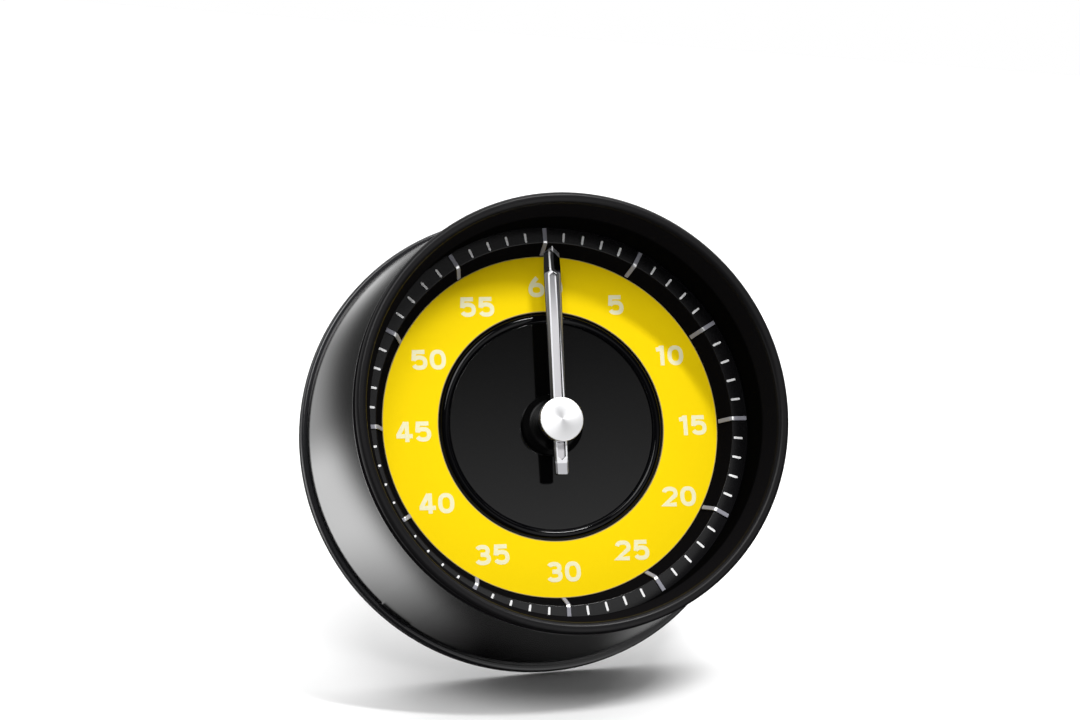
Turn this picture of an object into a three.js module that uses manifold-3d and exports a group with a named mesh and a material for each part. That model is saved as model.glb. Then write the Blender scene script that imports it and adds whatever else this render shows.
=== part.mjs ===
// Wind-up kitchen timer: a drum-shaped case that turns on a magnetic base, with its spring movement.
// Millimetres. The back of the foot ring lies in the plane z = 0, +Z points out of the dial, and the
// hand points along +Y. The base, the centre arbor and the hand stand still; the case turns with the
// dial and the movement, so winding brings a number round to the hand.
import * as THREE from 'three';
import { mergeVertices } from 'three/addons/utils/BufferGeometryUtils.js';
import Module from 'manifold-3d';

const wasm = await Module();
wasm.setup();

// ---- driving dimensions ----

// Clearances.
const running = 0.3; // between a moving piece and what guides it
const fit = 0.2; // between two fixed pieces, one inside the other
const seam = 0.15; // open joint between two covers
const lift = 0.05; // film of adhesive under an applied marker

// Dial, from the middle outward. The rest of the case is set out from the yellow dial's edge.
const collarRadius = 4.8;
const collarEdgeHeight = 0.64;
const collarShoulderRadius = 3.84;
const collarShoulderHeight = 1.36;
const collarTopRadius = 2.4;
const collarHeight = 1.6;
const dialRadius = 26.4;
const dialBand = 8.7; // width of the yellow dial
const dialThickness = 0.5;
const beadWidth = 2.3;
const beadCrown = 1.05; // width of the bead's flat top
const beadHeight = 0.45;
const chapterWidth = 3.9;
const chapterHeight = 2.9;
const ridgeInset = 1.4; // from the chapter ring's inner edge to the ridge of its slope
const markerWidth = 0.75;
const markerThickness = 0.4;
const markerInset = 0.2; // from each edge of the chapter ring
const markerCount = 12;
const carrierThickness = 1.5;

// Case.
const recessDepth = 14.6; // from the lip down to the dial
const recessSlope = 1.6; // how much wider the recess is at the lip than at the chapter ring
const bevelDepth = 4.5; // how far the recess's flared part reaches down from the lip
const lipHeight = 2.45;
const lipWidth = 1.3;
const sleeveFlare = 1.9; // how much wider the sleeve is at the back than at the lip
const sleeveWaist = 0.25; // how far the wall bows inward half way up
const sleeveWall = 0.8;
const notchWidth = 5.5;
const notchHeight = 0.8;
const notchAngle = -131;

// Base.
const baseRim = 0.8; // how far the base stands out past the sleeve
const baseThickness = 2.3;
const baseEdge = 0.4;
const footWidth = 4;
const footInset = 2; // from the base's rim to the foot
const footThickness = 0.9;
const footProud = 0.3;
const glideWidth = 1.2;
const guideWall = 1.4;
const guideHeight = 2;
const bossRadius = 4.5;
const bossHeight = 1.6;
const magnetRadius = 6;
const magnetThickness = 1.5;
const magnetInset = 5; // from the foot to a magnet
const magnetAngles = [90, 210, 330];
const screwHeadRadius = 2;
const screwHeadHeight = 0.9;
const screwRadius = 0.7;
const screwReach = 3;

// Stop between base and case: one lug and one pin on the same circle.
const stopInset = 1.5; // from the plates' edge
const stopLugWidth = 0.8;
const stopLugLength = 2.4;
const stopLugHeight = 1.1;
const stopPinRadius = 0.4;
const stopAngle = 120;

// Hand.
const handHeight = 4.3; // its underside above the dial
const handThickness = 0.9;
const handTipGap = 0.2; // from its tip to the yellow dial's edge, in plan
const handTail = 8.8;
const handWidth = 2.3;
const handShoulderWidth = 2.6;
const handTipWidth = 2.3;
const handTipPoint = 1.2;
const handTailWidth = 2;
const handTailPoint = 0.35;
const handHubRadius = 2.9;
const grooveWidth = 1.4;
const grooveDepth = 0.4;
const grooveTipGap = 3.6;
const grooveTailGap = 1.9;
const groovePoint = 0.7;
const capRadius = 3.4;
const capEdge = 1.1;
const capCone = 0.4;

// Movement. Its pieces are set out inward from the edge of the two plates.
const plateRadius = 25.5;
const plateThickness = 1;
const plateSpacing = 7.8;
const arborRadius = 1.5;
const arborTipRadius = 1;
const arborShoulderRadius = 3;
const shoulderThickness = 0.6;
const washerRadius = 4.2;
const washerThickness = 0.6;
const pillarRadius = 1.3;
const pillarInset = 2.5;
const pillarAngles = [30, 150, 270];
const postRadius = 0.6;
const pivotRadius = 0.6;
const fastenerRadius = 0.8;
const fastenerHeadRadius = 1.5;
const fastenerHeadHeight = 0.7;
const fastenerEdge = 1.4; // wall around a fastener's hole
const carrierBossHeight = 1.2;
const carrierScrewInset = 5.5;
const carrierScrewAngles = [90, 210, 330];
const bezelScrewRadius = 0.6;
const bezelScrewHeadRadius = 1.1;
const bezelScrewReach = 3;
const bezelScrewAngles = [30, 150, 270];
const rivetInset = 5.5;
const rivetAngles = [20, 140];
const bellGap = 1.5; // from the plates' edge to the bell's wall
const bellThickness = 0.7;
const bellHeight = 6.9;
const bellHole = 5.2;

// Gear train. Each wheel drives the pinion of the next.
const wheelThickness = 0.8;
const levelPitch = 1.4;
const mainTeeth = 48;
const secondTeeth = 40;
const thirdTeeth = 32;
const pinionTeeth = 8;
const mainModule = 0.5;
const trainModule = 0.42;
const toothTop = 0.85; // modules from the pitch circle out to a tooth's tip
const toothDepth = 1.15; // modules from the pitch circle in to a tooth's foot
const toothTipShare = 0.22; // share of a tooth's step that its tip takes
const toothFootShare = 0.66; // share of a tooth's step that its foot takes
const secondAngle = 200;
const thirdInset = 9.9;
const escapeRadius = 4.4;
const escapeToothDepth = 1.2;
const escapeTeeth = 15;
const escapeFaceShare = 0.15; // share of a tooth's step that its steep face takes
const palletInset = 8;
const palletDistance = 6.8;
const palletClearance = 1.25;
const palletPadAngle = 55; // either side of the line from the escape wheel to the anchor
const balanceRadius = 4.6;
const balanceRim = 1.1;
const balanceSpoke = 1;
const balanceHubWall = 0.7;
const springOuterRadius = 8;
const springStrip = 0.35;
const springTurns = 4;
const springHeight = 2.6;
const springPostAngle = 12;
const camRadius = 5;
const camNotch = 1.2;
const hammerInset = 6.5;
const hammerAngle = 60;
const hammerHeadRadius = 1.4;
const hammerHeadAngle = 85;
const hammerBellGap = 0.6;
const hammerArmWidth = 1.2;
const hammerTubeWall = 0.8;

// Facets around each kind of round piece.
const coverFacets = 48;
const dialFacets = 48;
const plateFacets = 40;
const hubFacets = 24;
const balanceFacets = 20;
const springFacets = 14; // in each turn of the mainspring
const smallFacets = 12;
const pillarFacets = 10;
const screwFacets = 8;

// How far a cutting tool reaches past the face that it cuts, and joined shapes into each other.
const overcut = 1;
const overlap = 0.1;

// ---- radii that follow from them ----

const dialHole = dialRadius - dialBand;
const chapterInner = dialRadius + 2 * lift;
const chapterRadius = chapterInner + chapterWidth;
const ridgeRadius = chapterInner + ridgeInset;
const lipInner = chapterRadius + recessSlope;
const sleeveFrontRadius = lipInner + lipWidth;
const sleeveBackRadius = sleeveFrontRadius + sleeveFlare;
const baseRadius = sleeveBackRadius + baseRim;
const footOuter = baseRadius - footInset;
const footInner = footOuter - footWidth;
const glideOuter = sleeveBackRadius - sleeveWall - running;
const guideRadius = glideOuter - glideWidth - running;
const guideInner = guideRadius - guideWall;
const magnetCircle = footInner - magnetInset - magnetRadius;
const stopCircle = plateRadius - stopInset;
const pillarCircle = plateRadius - pillarInset;
const escapeCircle = pillarCircle - pillarRadius - running - escapeRadius;
const bellRadius = plateRadius + bellGap + bellThickness;
const handReach = dialRadius - handTipGap;

// ---- heights above the foot's back ----

const baseBack = footProud;
const baseFront = baseBack + baseThickness;
const bossTop = baseFront + bossHeight;
const backPlateLow = bossTop + washerThickness;
const backPlateTop = backPlateLow + plateThickness;
const frontPlateLow = backPlateTop + plateSpacing;
const frontPlateTop = frontPlateLow + plateThickness;
const carrierLow = frontPlateTop + carrierBossHeight;
const carrierTop = carrierLow + carrierThickness;
const dialTop = carrierTop + dialThickness;
const lipTop = dialTop + recessDepth;
const lipLow = lipTop - lipHeight;
const sleeveBack = baseFront + running;
const sleeveFront = lipLow - seam;
const handLow = dialTop + handHeight;
const handTop = handLow + handThickness;
const trainLow = backPlateTop + running + shoulderThickness;

// ---- shaping ----

const radians = (degrees) => (degrees * Math.PI) / 180;
const degrees = (angle) => (angle * 180) / Math.PI;

const pointAt = (radius, angle) =>
  new THREE.Vector2(radius * Math.cos(radians(angle)), radius * Math.sin(radians(angle)));

// A regular polygon that stands for a circle, anticlockwise.
function circlePoints(radius, facets, centre = new THREE.Vector2()) {
  const corners = [];
  for (let step = 0; step < facets; step += 1) {
    corners.push(pointAt(radius, (360 * step) / facets).add(centre));
  }
  return corners;
}

// Turns a closed profile of [radius, height] pairs, listed anticlockwise, about +Z.
function turned(profile, facets) {
  const outline = profile.map(([radius, height]) => new THREE.Vector2(radius, height));
  if (profile[0][0] > 0) {
    outline.push(outline[0].clone());
  }
  const geometry = new THREE.LatheGeometry(outline, facets);
  return geometry.rotateX(Math.PI / 2);
}

// A flat sheet of the outline, with holes, from z = 0 up to its thickness.
function sheet(outline, thickness, holes = []) {
  const shape = new THREE.Shape(outline);
  shape.holes = holes.map((hole) => new THREE.Path([...hole].reverse()));
  return new THREE.ExtrudeGeometry(shape, { depth: thickness, bevelEnabled: false });
}

const disc = (radius, thickness, facets) => sheet(circlePoints(radius, facets), thickness);

const ring = (outer, inner, thickness, facets) =>
  sheet(circlePoints(outer, facets), thickness, [circlePoints(inner, facets)]);

const raised = (geometry, height) => geometry.translate(0, 0, height);

// ---- joining and cutting ----

function solidOf(geometry) {
  const bare = geometry.clone();
  bare.deleteAttribute('normal');
  bare.deleteAttribute('uv');
  const merged = mergeVertices(bare, 1e-4);
  const corners = Array.from(merged.index.array);
  const triangles = [];
  for (let i = 0; i < corners.length; i += 3) {
    const [a, b, c] = corners.slice(i, i + 3);
    if (a !== b && b !== c && c !== a) {
      triangles.push(a, b, c);
    }
  }
  return new wasm.Manifold(
    new wasm.Mesh({
      numProp: 3,
      vertProperties: new Float32Array(merged.attributes.position.array),
      triVerts: new Uint32Array(triangles),
    }),
  );
}

function geometryOf(solid) {
  const mesh = solid.getMesh();
  const geometry = new THREE.BufferGeometry();
  geometry.setAttribute('position', new THREE.BufferAttribute(mesh.vertProperties, 3));
  geometry.setIndex(new THREE.BufferAttribute(mesh.triVerts, 1));
  geometry.computeVertexNormals();
  return geometry;
}

function cut(body, tools) {
  let solid = solidOf(body);
  for (const tool of tools) {
    solid = solid.subtract(solidOf(tool));
  }
  return geometryOf(solid);
}

function joined(pieces) {
  let solid = solidOf(pieces[0]);
  for (const piece of pieces.slice(1)) {
    solid = solid.add(solidOf(piece));
  }
  return geometryOf(solid);
}

// ---- scene graph ----

const group = new THREE.Group();

function finish(color, roughness, metalness) {
  return new THREE.MeshStandardMaterial({ color, roughness, metalness });
}

const finishes = {
  satinBlack: finish(0x1b1b1c, 0.5, 0.2),
  glossBlack: finish(0x08080a, 0.15, 0),
  dialBlack: finish(0x232223, 0.55, 0),
  yellow: finish(0xffe40a, 0.5, 0),
  markerSilver: finish(0xb8b8ba, 0.35, 1),
  handSteel: finish(0xc9c9cc, 0.2, 1),
  capAluminium: finish(0xd6d6d8, 0.3, 1),
  brass: finish(0xb8923f, 0.35, 1),
  steel: finish(0x9a9da2, 0.35, 1),
  springSteel: finish(0x4c5568, 0.35, 1),
  magnet: finish(0x55565a, 0.45, 0.8),
  rubber: finish(0x121212, 0.85, 0),
  carrierPlastic: finish(0x2a2a2c, 0.6, 0),
  washerPlastic: finish(0xe8e6df, 0.5, 0),
};

// Adds one named piece to an assembly, at a height, a place in plan and a turn about +Z.
function add(parent, name, geometry, material, height = 0, place = new THREE.Vector2(), turn = 0) {
  const mesh = new THREE.Mesh(geometry, material);
  mesh.name = name;
  mesh.position.set(place.x, place.y, height);
  mesh.rotation.z = radians(turn);
  parent.add(mesh);
}

// ---- base: stands still on the refrigerator door or the worktop ----

const base = new THREE.Group();
group.add(base);

const footGroove = footThickness - footProud;
const magnetPlaces = magnetAngles.map((angle) => pointAt(magnetCircle, angle));
const socketRadius = arborRadius + fit;
const socketFloor = screwHeadHeight + baseEdge;

function baseCover() {
  const body = turned(
    [
      [0, 0],
      [footInner - fit, 0],
      [footInner - fit, footGroove],
      [footOuter + fit, footGroove],
      [footOuter + fit, 0],
      [baseRadius - baseEdge, 0],
      [baseRadius, baseEdge],
      [baseRadius, baseThickness - baseEdge],
      [baseRadius - baseEdge, baseThickness],
      [guideRadius, baseThickness],
      [guideRadius, baseThickness + guideHeight],
      [guideInner, baseThickness + guideHeight],
      [guideInner, baseThickness],
      [0, baseThickness],
    ],
    coverFacets,
  );
  const boss = disc(bossRadius, baseThickness / 2 + bossHeight, hubFacets);
  const lugSunk = baseThickness / 2;
  const lug = new THREE.BoxGeometry(stopLugLength, stopLugWidth, stopLugHeight + lugSunk);
  lug.translate(stopCircle, 0, baseThickness + (stopLugHeight - lugSunk) / 2);
  lug.rotateZ(radians(stopAngle));
  const pockets = magnetPlaces.map((place) => {
    const pocket = disc(magnetRadius + fit, magnetThickness + overcut, hubFacets);
    return pocket.translate(place.x, place.y, -overcut);
  });
  const socket = raised(disc(socketRadius, baseThickness + bossHeight, hubFacets), socketFloor);
  const screwHole = disc(screwRadius + running, socketFloor + 2 * overcut, smallFacets);
  const headHole = disc(screwHeadRadius + fit, screwHeadHeight + overcut, smallFacets);
  const holes = [screwHole, headHole].map((hole) => raised(hole, -overcut));
  const blank = joined([body, raised(boss, baseThickness / 2), lug]);
  return cut(blank, [...pockets, socket, ...holes]);
}

add(base, 'base_cover', baseCover(), finishes.glossBlack, baseBack);
add(base, 'foot_ring', ring(footOuter, footInner, footThickness, coverFacets), finishes.rubber);
magnetPlaces.forEach((place, index) => {
  const magnet = disc(magnetRadius, magnetThickness, hubFacets);
  add(base, `magnet_${index + 1}`, magnet, finishes.magnet, baseBack, place);
});

const glideRing = ring(glideOuter, glideOuter - glideWidth, guideHeight - running, coverFacets);
add(base, 'glide_ring', glideRing, finishes.washerPlastic, baseFront);

const arborHole = arborRadius + running;
const thrustWasher = ring(washerRadius, arborHole, washerThickness, hubFacets);
add(base, 'thrust_washer', thrustWasher, finishes.washerPlastic, bossTop);

const arborLow = baseBack + socketFloor;
const arborHoleTop = arborLow + screwReach + fit;
const arborScrew = turned(
  [
    [0, 0],
    [screwHeadRadius, 0],
    [screwHeadRadius, screwHeadHeight - fit],
    [screwRadius, screwHeadHeight - fit],
    [screwRadius, socketFloor + screwReach],
    [0, socketFloor + screwReach],
  ],
  smallFacets,
);
add(base, 'arbor_screw', arborScrew, finishes.steel, baseBack);

const centreArbor = turned(
  [
    [0, arborHoleTop],
    [screwRadius + fit, arborHoleTop],
    [screwRadius + fit, arborLow],
    [arborRadius, arborLow],
    [arborRadius, backPlateTop + running],
    [arborShoulderRadius, backPlateTop + running],
    [arborShoulderRadius, trainLow],
    [arborRadius, trainLow],
    [arborRadius, handLow],
    [arborTipRadius, handLow],
    [arborTipRadius, handTop],
    [0, handTop],
  ],
  hubFacets,
);
add(base, 'centre_arbor', centreArbor, finishes.steel);

// ---- hand: fixed on the tip of the centre arbor ----

// The hand points along +Y. Half widths are listed from the tail to the tip.
function handOutline() {
  const right = [
    [0, -handTail],
    [handTailWidth / 2, handTailPoint - handTail],
    [handWidth / 2, 0],
    [handShoulderWidth / 2, handReach - grooveTipGap],
    [handTipWidth / 2, handReach - handTipPoint],
    [0, handReach],
  ].map(([x, y]) => new THREE.Vector2(x, y));
  const left = right.slice(1, -1).map(({ x, y }) => new THREE.Vector2(-x, y));
  return [...right, ...left.reverse()];
}

// A groove along Y from near the hub to a pointed far end.
function grooveOutline(near, far) {
  const way = Math.sign(far - near);
  const corners = [
    new THREE.Vector2(grooveWidth / 2, near),
    new THREE.Vector2(grooveWidth / 2, far - way * groovePoint),
    new THREE.Vector2(0, far),
    new THREE.Vector2(-grooveWidth / 2, far - way * groovePoint),
    new THREE.Vector2(-grooveWidth / 2, near),
  ];
  return way > 0 ? corners : corners.reverse();
}

function handBlade() {
  const blade = joined([
    sheet(handOutline(), handThickness),
    disc(handHubRadius, handThickness, hubFacets),
  ]);
  const grooves = [
    grooveOutline(handHubRadius, handReach - grooveTipGap),
    grooveOutline(-handHubRadius, grooveTailGap - handTail),
  ].map((outline) => raised(sheet(outline, handThickness), handThickness - grooveDepth));
  const bore = disc(arborTipRadius + fit, handThickness + 2 * overcut, hubFacets);
  return cut(blade, [...grooves, raised(bore, -overcut)]);
}

add(base, 'hand_blade', handBlade(), finishes.handSteel, handLow);

const hubCap = turned(
  [
    [0, 0],
    [capRadius, 0],
    [capRadius, capEdge],
    [0, capEdge + capCone],
  ],
  hubFacets,
);
add(base, 'hub_cap', hubCap, finishes.capAluminium, handTop);

// ---- case: turns on the base ----

const turningCase = new THREE.Group();
group.add(turningCase);

// Outer radius of the sleeve at a height, along a line that bows inward half way up.
function sleeveRadiusAt(height) {
  const share = (height - sleeveBack) / (sleeveFront - sleeveBack);
  const straight = sleeveBackRadius + (sleeveFrontRadius - sleeveBackRadius) * share;
  return straight - 4 * sleeveWaist * share * (1 - share);
}

function outerSleeve() {
  const heights = [0, 0.25, 0.5, 0.75, 1].map((t) => sleeveBack + t * (sleeveFront - sleeveBack));
  const outside = heights.map((height) => [sleeveRadiusAt(height), height]);
  const inside = heights.map((height) => [sleeveRadiusAt(height) - sleeveWall, height]);
  const wall = turned([...outside, ...inside.reverse()], coverFacets);
  const notch = new THREE.BoxGeometry(2 * (sleeveWall + overcut), notchWidth, 2 * notchHeight);
  notch.translate(sleeveBackRadius, 0, sleeveBack);
  notch.rotateZ(radians(notchAngle));
  return cut(wall, [notch]);
}

add(turningCase, 'outer_sleeve', outerSleeve(), finishes.satinBlack);

const chapterTop = dialTop + chapterHeight;
const recessLow = chapterTop + running;
const bezelFootInner = chapterRadius + running;
const bezelOuterAt = (height) => sleeveRadiusAt(height) - sleeveWall - fit;
const bezelScrewCircle = (bezelFootInner + bezelOuterAt(carrierTop)) / 2;

// The lip is a full half round over its width. Inside it a bevel narrows the recess to a straight wall.
function frontBezel() {
  const lipRound = lipWidth / 2;
  const corner = lipRound * (1 - Math.SQRT1_2);
  const body = turned(
    [
      [bezelFootInner, carrierTop],
      [bezelOuterAt(carrierTop), carrierTop],
      [bezelOuterAt(recessLow), recessLow],
      [bezelOuterAt(sleeveFront), lipLow],
      [sleeveFrontRadius, lipLow],
      [sleeveFrontRadius, lipTop - lipRound],
      [sleeveFrontRadius - corner, lipTop - corner],
      [lipInner + lipRound, lipTop],
      [lipInner + corner, lipTop - corner],
      [lipInner, lipTop - lipRound],
      [chapterRadius, lipTop - bevelDepth],
      [chapterRadius, recessLow],
      [bezelFootInner, recessLow],
    ],
    coverFacets,
  );
  const holes = bezelScrewAngles.map((angle) => {
    const place = pointAt(bezelScrewCircle, angle);
    const hole = disc(bezelScrewRadius + fit, bezelScrewReach + fit + overcut, screwFacets);
    return hole.translate(place.x, place.y, carrierTop - overcut);
  });
  return cut(body, holes);
}

add(turningCase, 'front_bezel', frontBezel(), finishes.satinBlack);

// ---- dial ----

const chapterRing = turned(
  [
    [chapterInner, 0],
    [chapterRadius, 0],
    [chapterRadius, dialThickness + chapterHeight],
    [ridgeRadius, dialThickness + chapterHeight],
    [chapterInner, dialThickness],
  ],
  dialFacets,
);
add(turningCase, 'chapter_ring', chapterRing, finishes.glossBlack, carrierTop);

// Height of the chapter ring's face above the dial at a radius.
function chapterFaceAt(radius) {
  if (radius < ridgeRadius) {
    return (chapterHeight * (radius - chapterInner)) / (ridgeRadius - chapterInner);
  }
  return chapterHeight;
}

// The face under a marker is flat between two facet edges, so it rises a little beside the marker's
// middle line, and the marker lies that much higher.
function marker() {
  const radii = [chapterInner + markerInset, ridgeRadius, chapterRadius - markerInset];
  const steepest = chapterHeight / (ridgeRadius - chapterInner);
  const rise = steepest * Math.tan(Math.PI / dialFacets) * (markerWidth / 2);
  const under = radii.map((radius) => new THREE.Vector2(radius, chapterFaceAt(radius) + lift + rise));
  const over = under.map((point) => new THREE.Vector2(point.x, point.y + markerThickness));
  const strip = sheet([...under, ...over.reverse()], markerWidth);
  return strip.translate(0, 0, -markerWidth / 2).rotateX(Math.PI / 2);
}

for (let index = 0; index < markerCount; index += 1) {
  const minute = (60 * index) / markerCount;
  const name = `marker_${String(minute).padStart(2, '0')}`;
  const turn = 90 - 6 * minute;
  add(turningCase, name, marker(), finishes.markerSilver, dialTop, new THREE.Vector2(), turn);
}

const yellowDial = ring(dialRadius, dialHole, dialThickness, dialFacets);
add(turningCase, 'yellow_dial', yellowDial, finishes.yellow, carrierTop);

const beadOuter = dialHole - lift * 2;
const beadInner = dialHole - beadWidth;
const beadShoulder = (beadOuter - beadInner - beadCrown) / 2;
const beadRing = turned(
  [
    [beadInner, 0],
    [beadOuter, 0],
    [beadOuter, dialThickness],
    [beadOuter - beadShoulder, dialThickness + beadHeight],
    [beadInner + beadShoulder, dialThickness + beadHeight],
    [beadInner, dialThickness],
  ],
  dialFacets,
);
add(turningCase, 'bead_ring', beadRing, finishes.glossBlack, carrierTop);

const centreDial = ring(beadInner - lift * 2, arborHole, dialThickness, plateFacets);
add(turningCase, 'centre_dial', centreDial, finishes.dialBlack, carrierTop);

const handCollar = turned(
  [
    [arborHole, 0],
    [collarRadius, 0],
    [collarRadius, collarEdgeHeight],
    [collarShoulderRadius, collarShoulderHeight],
    [collarTopRadius, collarHeight],
    [arborHole, collarHeight],
  ],
  hubFacets,
);
add(turningCase, 'hand_collar', handCollar, finishes.glossBlack, dialTop);

// ---- dial carrier: the plate that dial, bezel and movement are screwed to ----

const carrierScrewCircle = plateRadius - carrierScrewInset;
const carrierScrewPlaces = carrierScrewAngles.map((angle) => pointAt(carrierScrewCircle, angle));
const fastenerHole = fastenerRadius + fit;

function dialCarrier() {
  const holeAt = (radius, facets) => (place) => circlePoints(radius, facets, place);
  const bezelPlaces = bezelScrewAngles.map((angle) => pointAt(bezelScrewCircle, angle));
  const plate = sheet(circlePoints(bezelOuterAt(carrierLow), coverFacets), carrierThickness, [
    circlePoints(arborHole, smallFacets),
    ...carrierScrewPlaces.map(holeAt(fastenerHole, screwFacets)),
    ...bezelPlaces.map(holeAt(bezelScrewRadius + fit, screwFacets)),
  ]);
  const bosses = carrierScrewPlaces.map((place) => {
    const height = carrierBossHeight + carrierThickness / 2;
    const wall = ring(fastenerHole + fastenerEdge, fastenerHole, height, screwFacets);
    return wall.translate(place.x, place.y, -carrierBossHeight);
  });
  return joined([plate, ...bosses]);
}

add(turningCase, 'dial_carrier', dialCarrier(), finishes.carrierPlastic, carrierLow);

// A screw or rivet with its head's top at z = 0 and its shank going up from there.
function fastener(headRadius, headHeight, shankRadius, shankLength) {
  return turned(
    [
      [0, -headHeight],
      [headRadius, -headHeight],
      [headRadius, 0],
      [shankRadius, 0],
      [shankRadius, shankLength],
      [0, shankLength],
    ],
    screwFacets,
  );
}

bezelScrewAngles.forEach((angle, index) => {
  const screw = fastener(
    bezelScrewHeadRadius,
    fastenerHeadHeight,
    bezelScrewRadius,
    carrierThickness + bezelScrewReach,
  );
  const place = pointAt(bezelScrewCircle, angle);
  add(turningCase, `bezel_screw_${index + 1}`, screw, finishes.steel, carrierLow, place);
});

carrierScrewPlaces.forEach((place, index) => {
  const reach = plateThickness + carrierBossHeight + carrierThickness - fit;
  const screw = fastener(fastenerHeadRadius, fastenerHeadHeight, fastenerRadius, reach);
  add(turningCase, `movement_screw_${index + 1}`, screw, finishes.steel, frontPlateLow, place);
});

// ---- movement: two plates on pillars, hung from the dial carrier ----

// Where an arbor goes that stands at one distance from the centre and at another from its driver,
// on the anticlockwise side of the driver.
function meshedAngle(driverCircle, driverAngle, circle, distance) {
  const sides = driverCircle ** 2 + circle ** 2 - distance ** 2;
  return driverAngle + degrees(Math.acos(sides / (2 * driverCircle * circle)));
}

const pitchRadius = (teeth, toothModule) => (teeth * toothModule) / 2;
const centres = (teeth, toothModule) => pitchRadius(teeth + pinionTeeth, toothModule);

const secondDistance = centres(mainTeeth, mainModule);
const thirdDistance = centres(secondTeeth, trainModule);
const escapeDistance = centres(thirdTeeth, trainModule);
const secondPlace = pointAt(secondDistance, secondAngle);
const thirdCircle = plateRadius - thirdInset;
const thirdAngle = meshedAngle(secondDistance, secondAngle, thirdCircle, thirdDistance);
const thirdPlace = pointAt(thirdCircle, thirdAngle);
const escapeAngle = meshedAngle(thirdCircle, thirdAngle, escapeCircle, escapeDistance);
const escapePlace = pointAt(escapeCircle, escapeAngle);
const palletCircle = plateRadius - palletInset;
const palletAngle = meshedAngle(escapeCircle, escapeAngle, palletCircle, palletDistance);
const palletPlace = pointAt(palletCircle, palletAngle);
const hammerCircle = plateRadius - hammerInset;
const hammerPlace = pointAt(hammerCircle, hammerAngle);
const stopPinAngle =
  stopAngle + degrees((stopLugWidth / 2 + stopPinRadius + fit) / stopCircle);
const stopPinPlace = pointAt(stopCircle, stopPinAngle);
const rivetPlaces = rivetAngles.map((angle) => pointAt(plateRadius - rivetInset, angle));
const pillarPlaces = pillarAngles.map((angle) => pointAt(pillarCircle, angle));

const pivotPlaces = [secondPlace, thirdPlace, escapePlace, palletPlace];
const screwHoleAt = (radius) => (place) => circlePoints(radius, screwFacets, place);
const pivotHoles = pivotPlaces.map(screwHoleAt(pivotRadius + running));
const plateOutline = circlePoints(plateRadius, plateFacets);
const plateBore = circlePoints(arborHole, smallFacets);

const backPlate = sheet(plateOutline, plateThickness, [
  plateBore,
  ...pivotHoles,
  ...rivetPlaces.map(screwHoleAt(fastenerHole)),
  screwHoleAt(stopPinRadius + fit)(stopPinPlace),
]);
add(turningCase, 'back_plate', backPlate, finishes.brass, backPlateLow);

const frontPlate = sheet(plateOutline, plateThickness, [
  plateBore,
  ...pivotHoles,
  ...carrierScrewPlaces.map(screwHoleAt(fastenerHole)),
]);
add(turningCase, 'front_plate', frontPlate, finishes.brass, frontPlateLow);

pillarPlaces.forEach((place, index) => {
  const pillar = disc(pillarRadius, plateSpacing, pillarFacets);
  add(turningCase, `pillar_${index + 1}`, pillar, finishes.steel, backPlateTop, place);
});

// ---- bell: a cup around the movement, riveted under the back plate ----

function bellCup() {
  const cup = turned(
    [
      [bellHole, 0],
      [bellRadius, 0],
      [bellRadius, bellHeight],
      [bellRadius - bellThickness, bellHeight],
      [bellRadius - bellThickness, bellThickness],
      [bellHole, bellThickness],
    ],
    plateFacets,
  );
  const drill = (radius, place) => {
    const tool = disc(radius, bellThickness + 2 * overcut, screwFacets);
    return tool.translate(place.x, place.y, -overcut);
  };
  return cut(cup, [
    ...rivetPlaces.map((place) => drill(fastenerHole, place)),
    drill(stopPinRadius + fit, stopPinPlace),
  ]);
}

const bellLow = backPlateLow - bellThickness;
add(turningCase, 'bell', bellCup(), finishes.steel, bellLow);
rivetPlaces.forEach((place, index) => {
  const rivet = fastener(
    fastenerHeadRadius,
    fastenerHeadHeight,
    fastenerRadius,
    bellThickness + plateThickness,
  );
  add(turningCase, `bell_rivet_${index + 1}`, rivet, finishes.steel, bellLow, place);
});

const stopPinLow = baseFront + running;
const stopPin = disc(stopPinRadius, backPlateTop - stopPinLow, screwFacets);
add(turningCase, 'stop_pin', stopPin, finishes.steel, stopPinLow, stopPinPlace);

// ---- gear train ----

// Straight-flanked teeth, narrow enough at the pitch circle to leave backlash.
function gearPoints(teeth, toothModule) {
  const pitch = pitchRadius(teeth, toothModule);
  const tip = pitch + toothTop * toothModule;
  const root = pitch - toothDepth * toothModule;
  const step = 360 / teeth;
  const corners = [];
  for (let tooth = 0; tooth < teeth; tooth += 1) {
    corners.push(pointAt(root, step * (tooth - toothFootShare / 2)));
    corners.push(pointAt(tip, step * (tooth - toothTipShare / 2)));
    corners.push(pointAt(tip, step * (tooth + toothTipShare / 2)));
    corners.push(pointAt(root, step * (tooth + toothFootShare / 2)));
  }
  return corners;
}

// Ratchet-shaped teeth: a steep face and a long back.
function escapePoints() {
  const step = 360 / escapeTeeth;
  const corners = [];
  for (let tooth = 0; tooth < escapeTeeth; tooth += 1) {
    corners.push(pointAt(escapeRadius, step * tooth));
    corners.push(pointAt(escapeRadius - escapeToothDepth, step * (tooth + escapeFaceShare)));
  }
  return corners;
}

const levelAt = (level) => trainLow + level * levelPitch - backPlateLow;
const arborLength = frontPlateTop - backPlateLow;

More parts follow.
